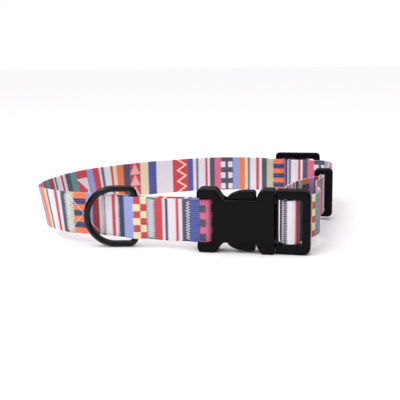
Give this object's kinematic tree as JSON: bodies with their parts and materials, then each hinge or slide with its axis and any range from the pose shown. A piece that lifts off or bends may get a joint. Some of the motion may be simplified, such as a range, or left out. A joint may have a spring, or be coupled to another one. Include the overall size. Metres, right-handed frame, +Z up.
{
  "type": "adjustable dog collar",
  "caption": "Flat adjustable webbing dog collar with side-release buckle, leash D-ring, slide adjuster and keeper loop.",
  "frame": {"origin": "on the lower rest face of the buckle housing, beside the parting line of the buckle, midway through its thickness", "axes": "+X along the buckle from the housing to the plug, -Y out of the collar's outer face at the buckle, +Z up across the width of the webbing"},
  "size_m": [0.1812, 0.1582, 0.0368],
  "materials": {
    "buckle_plastic": "moulded acetal, satin with polished edges",
    "ring_steel": "steel wire with a glossy black coat",
    "webbing": "printed polyester webbing in bands of many colours",
    "thread": "spun polyester sewing thread"
  },
  "bodies": {
    "strap": {"collar_webbing": "webbing", "outer_strand": "webbing", "inner_strand": "webbing", "buckle_housing": "buckle_plastic", "cross_stitching": "thread", "end_tack": "thread", "ring_tack_left": "thread", "ring_tack_right": "thread", "buckle_tack": "thread"},
    "plug": {"buckle_plug": "buckle_plastic", "webbing_in_plug": "webbing"},
    "upper_latch": {"upper_latch_arm": "buckle_plastic"},
    "lower_latch": {"lower_latch_arm": "buckle_plastic"},
    "ring": {"d_ring": "ring_steel"},
    "adjuster": {"slide_adjuster": "buckle_plastic", "webbing_through_adjuster": "webbing", "webbing_on_adjuster": "webbing"},
    "keeper": {"keeper_loop": "buckle_plastic"}
  },
  "joints": [
    {"name": "plug_slide", "type": "slide", "parent": "strap", "child": "plug", "axis": [1, 0, 0], "range_m": [0, 0.045], "deforming": ["upper_latch_arm", "lower_latch_arm"]},
    {"name": "upper_latch_press", "type": "hinge", "parent": "plug", "child": "upper_latch", "pos_m": [0.0036, 0, 0.0299], "axis": [0, -1, 0], "range_deg": [0, 12], "stiffness_Nm_per_rad": 0.3},
    {"name": "lower_latch_press", "type": "hinge", "parent": "plug", "child": "lower_latch", "pos_m": [0.0036, 0, 0.0069], "axis": [0, 1, 0], "range_deg": [0, 12], "stiffness_Nm_per_rad": 0.3},
    {"name": "ring_swing", "type": "hinge", "parent": "strap", "child": "ring", "pos_m": [-0.079, 0.00209, 0.0184], "axis": [0, 0, 1], "range_deg": [0, 150]},
    {"name": "adjuster_slide", "type": "slide", "parent": "strap", "child": "adjuster", "axis": [-1, 0, 0], "range_m": [0, 0.016], "deforming": ["webbing_through_adjuster", "webbing_on_adjuster"]},
    {"name": "keeper_slide", "type": "slide", "parent": "strap", "child": "keeper", "axis": [0, 1, 0], "range_m": [0, 0.012]}
  ]
}
